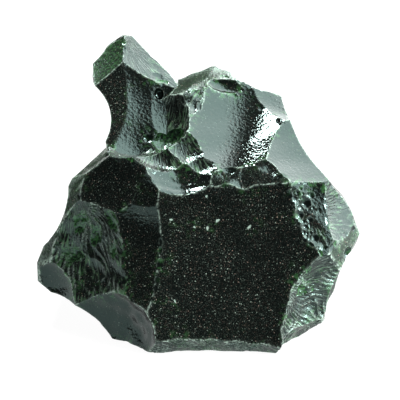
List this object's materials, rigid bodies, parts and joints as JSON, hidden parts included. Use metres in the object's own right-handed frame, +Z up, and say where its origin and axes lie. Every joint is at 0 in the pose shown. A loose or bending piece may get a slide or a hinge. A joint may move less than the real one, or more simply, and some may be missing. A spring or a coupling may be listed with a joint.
{
  "type": "landscape glass boulder",
  "caption": "Broken lump of very dark green, nearly black glass with shell-shaped scars, sharp ridges and a horn at the upper left, standing on a flat underside as a garden boulder.",
  "frame": {"origin": "on the underside, below the middle of the boulder's box", "axes": "+Z up from the surface that it stands on, +X to the right along its longest side as seen from the front, -Y towards the viewer"},
  "size_m": [0.317, 0.2566, 0.2546],
  "materials": {
    "dark_glass": "glossy broken glass, nearly black with green at thin edges, with dull hackled and dusty patches"
  },
  "bodies": {
    "root": {"boulder": "dark_glass"}
  },
  "joints": []
}
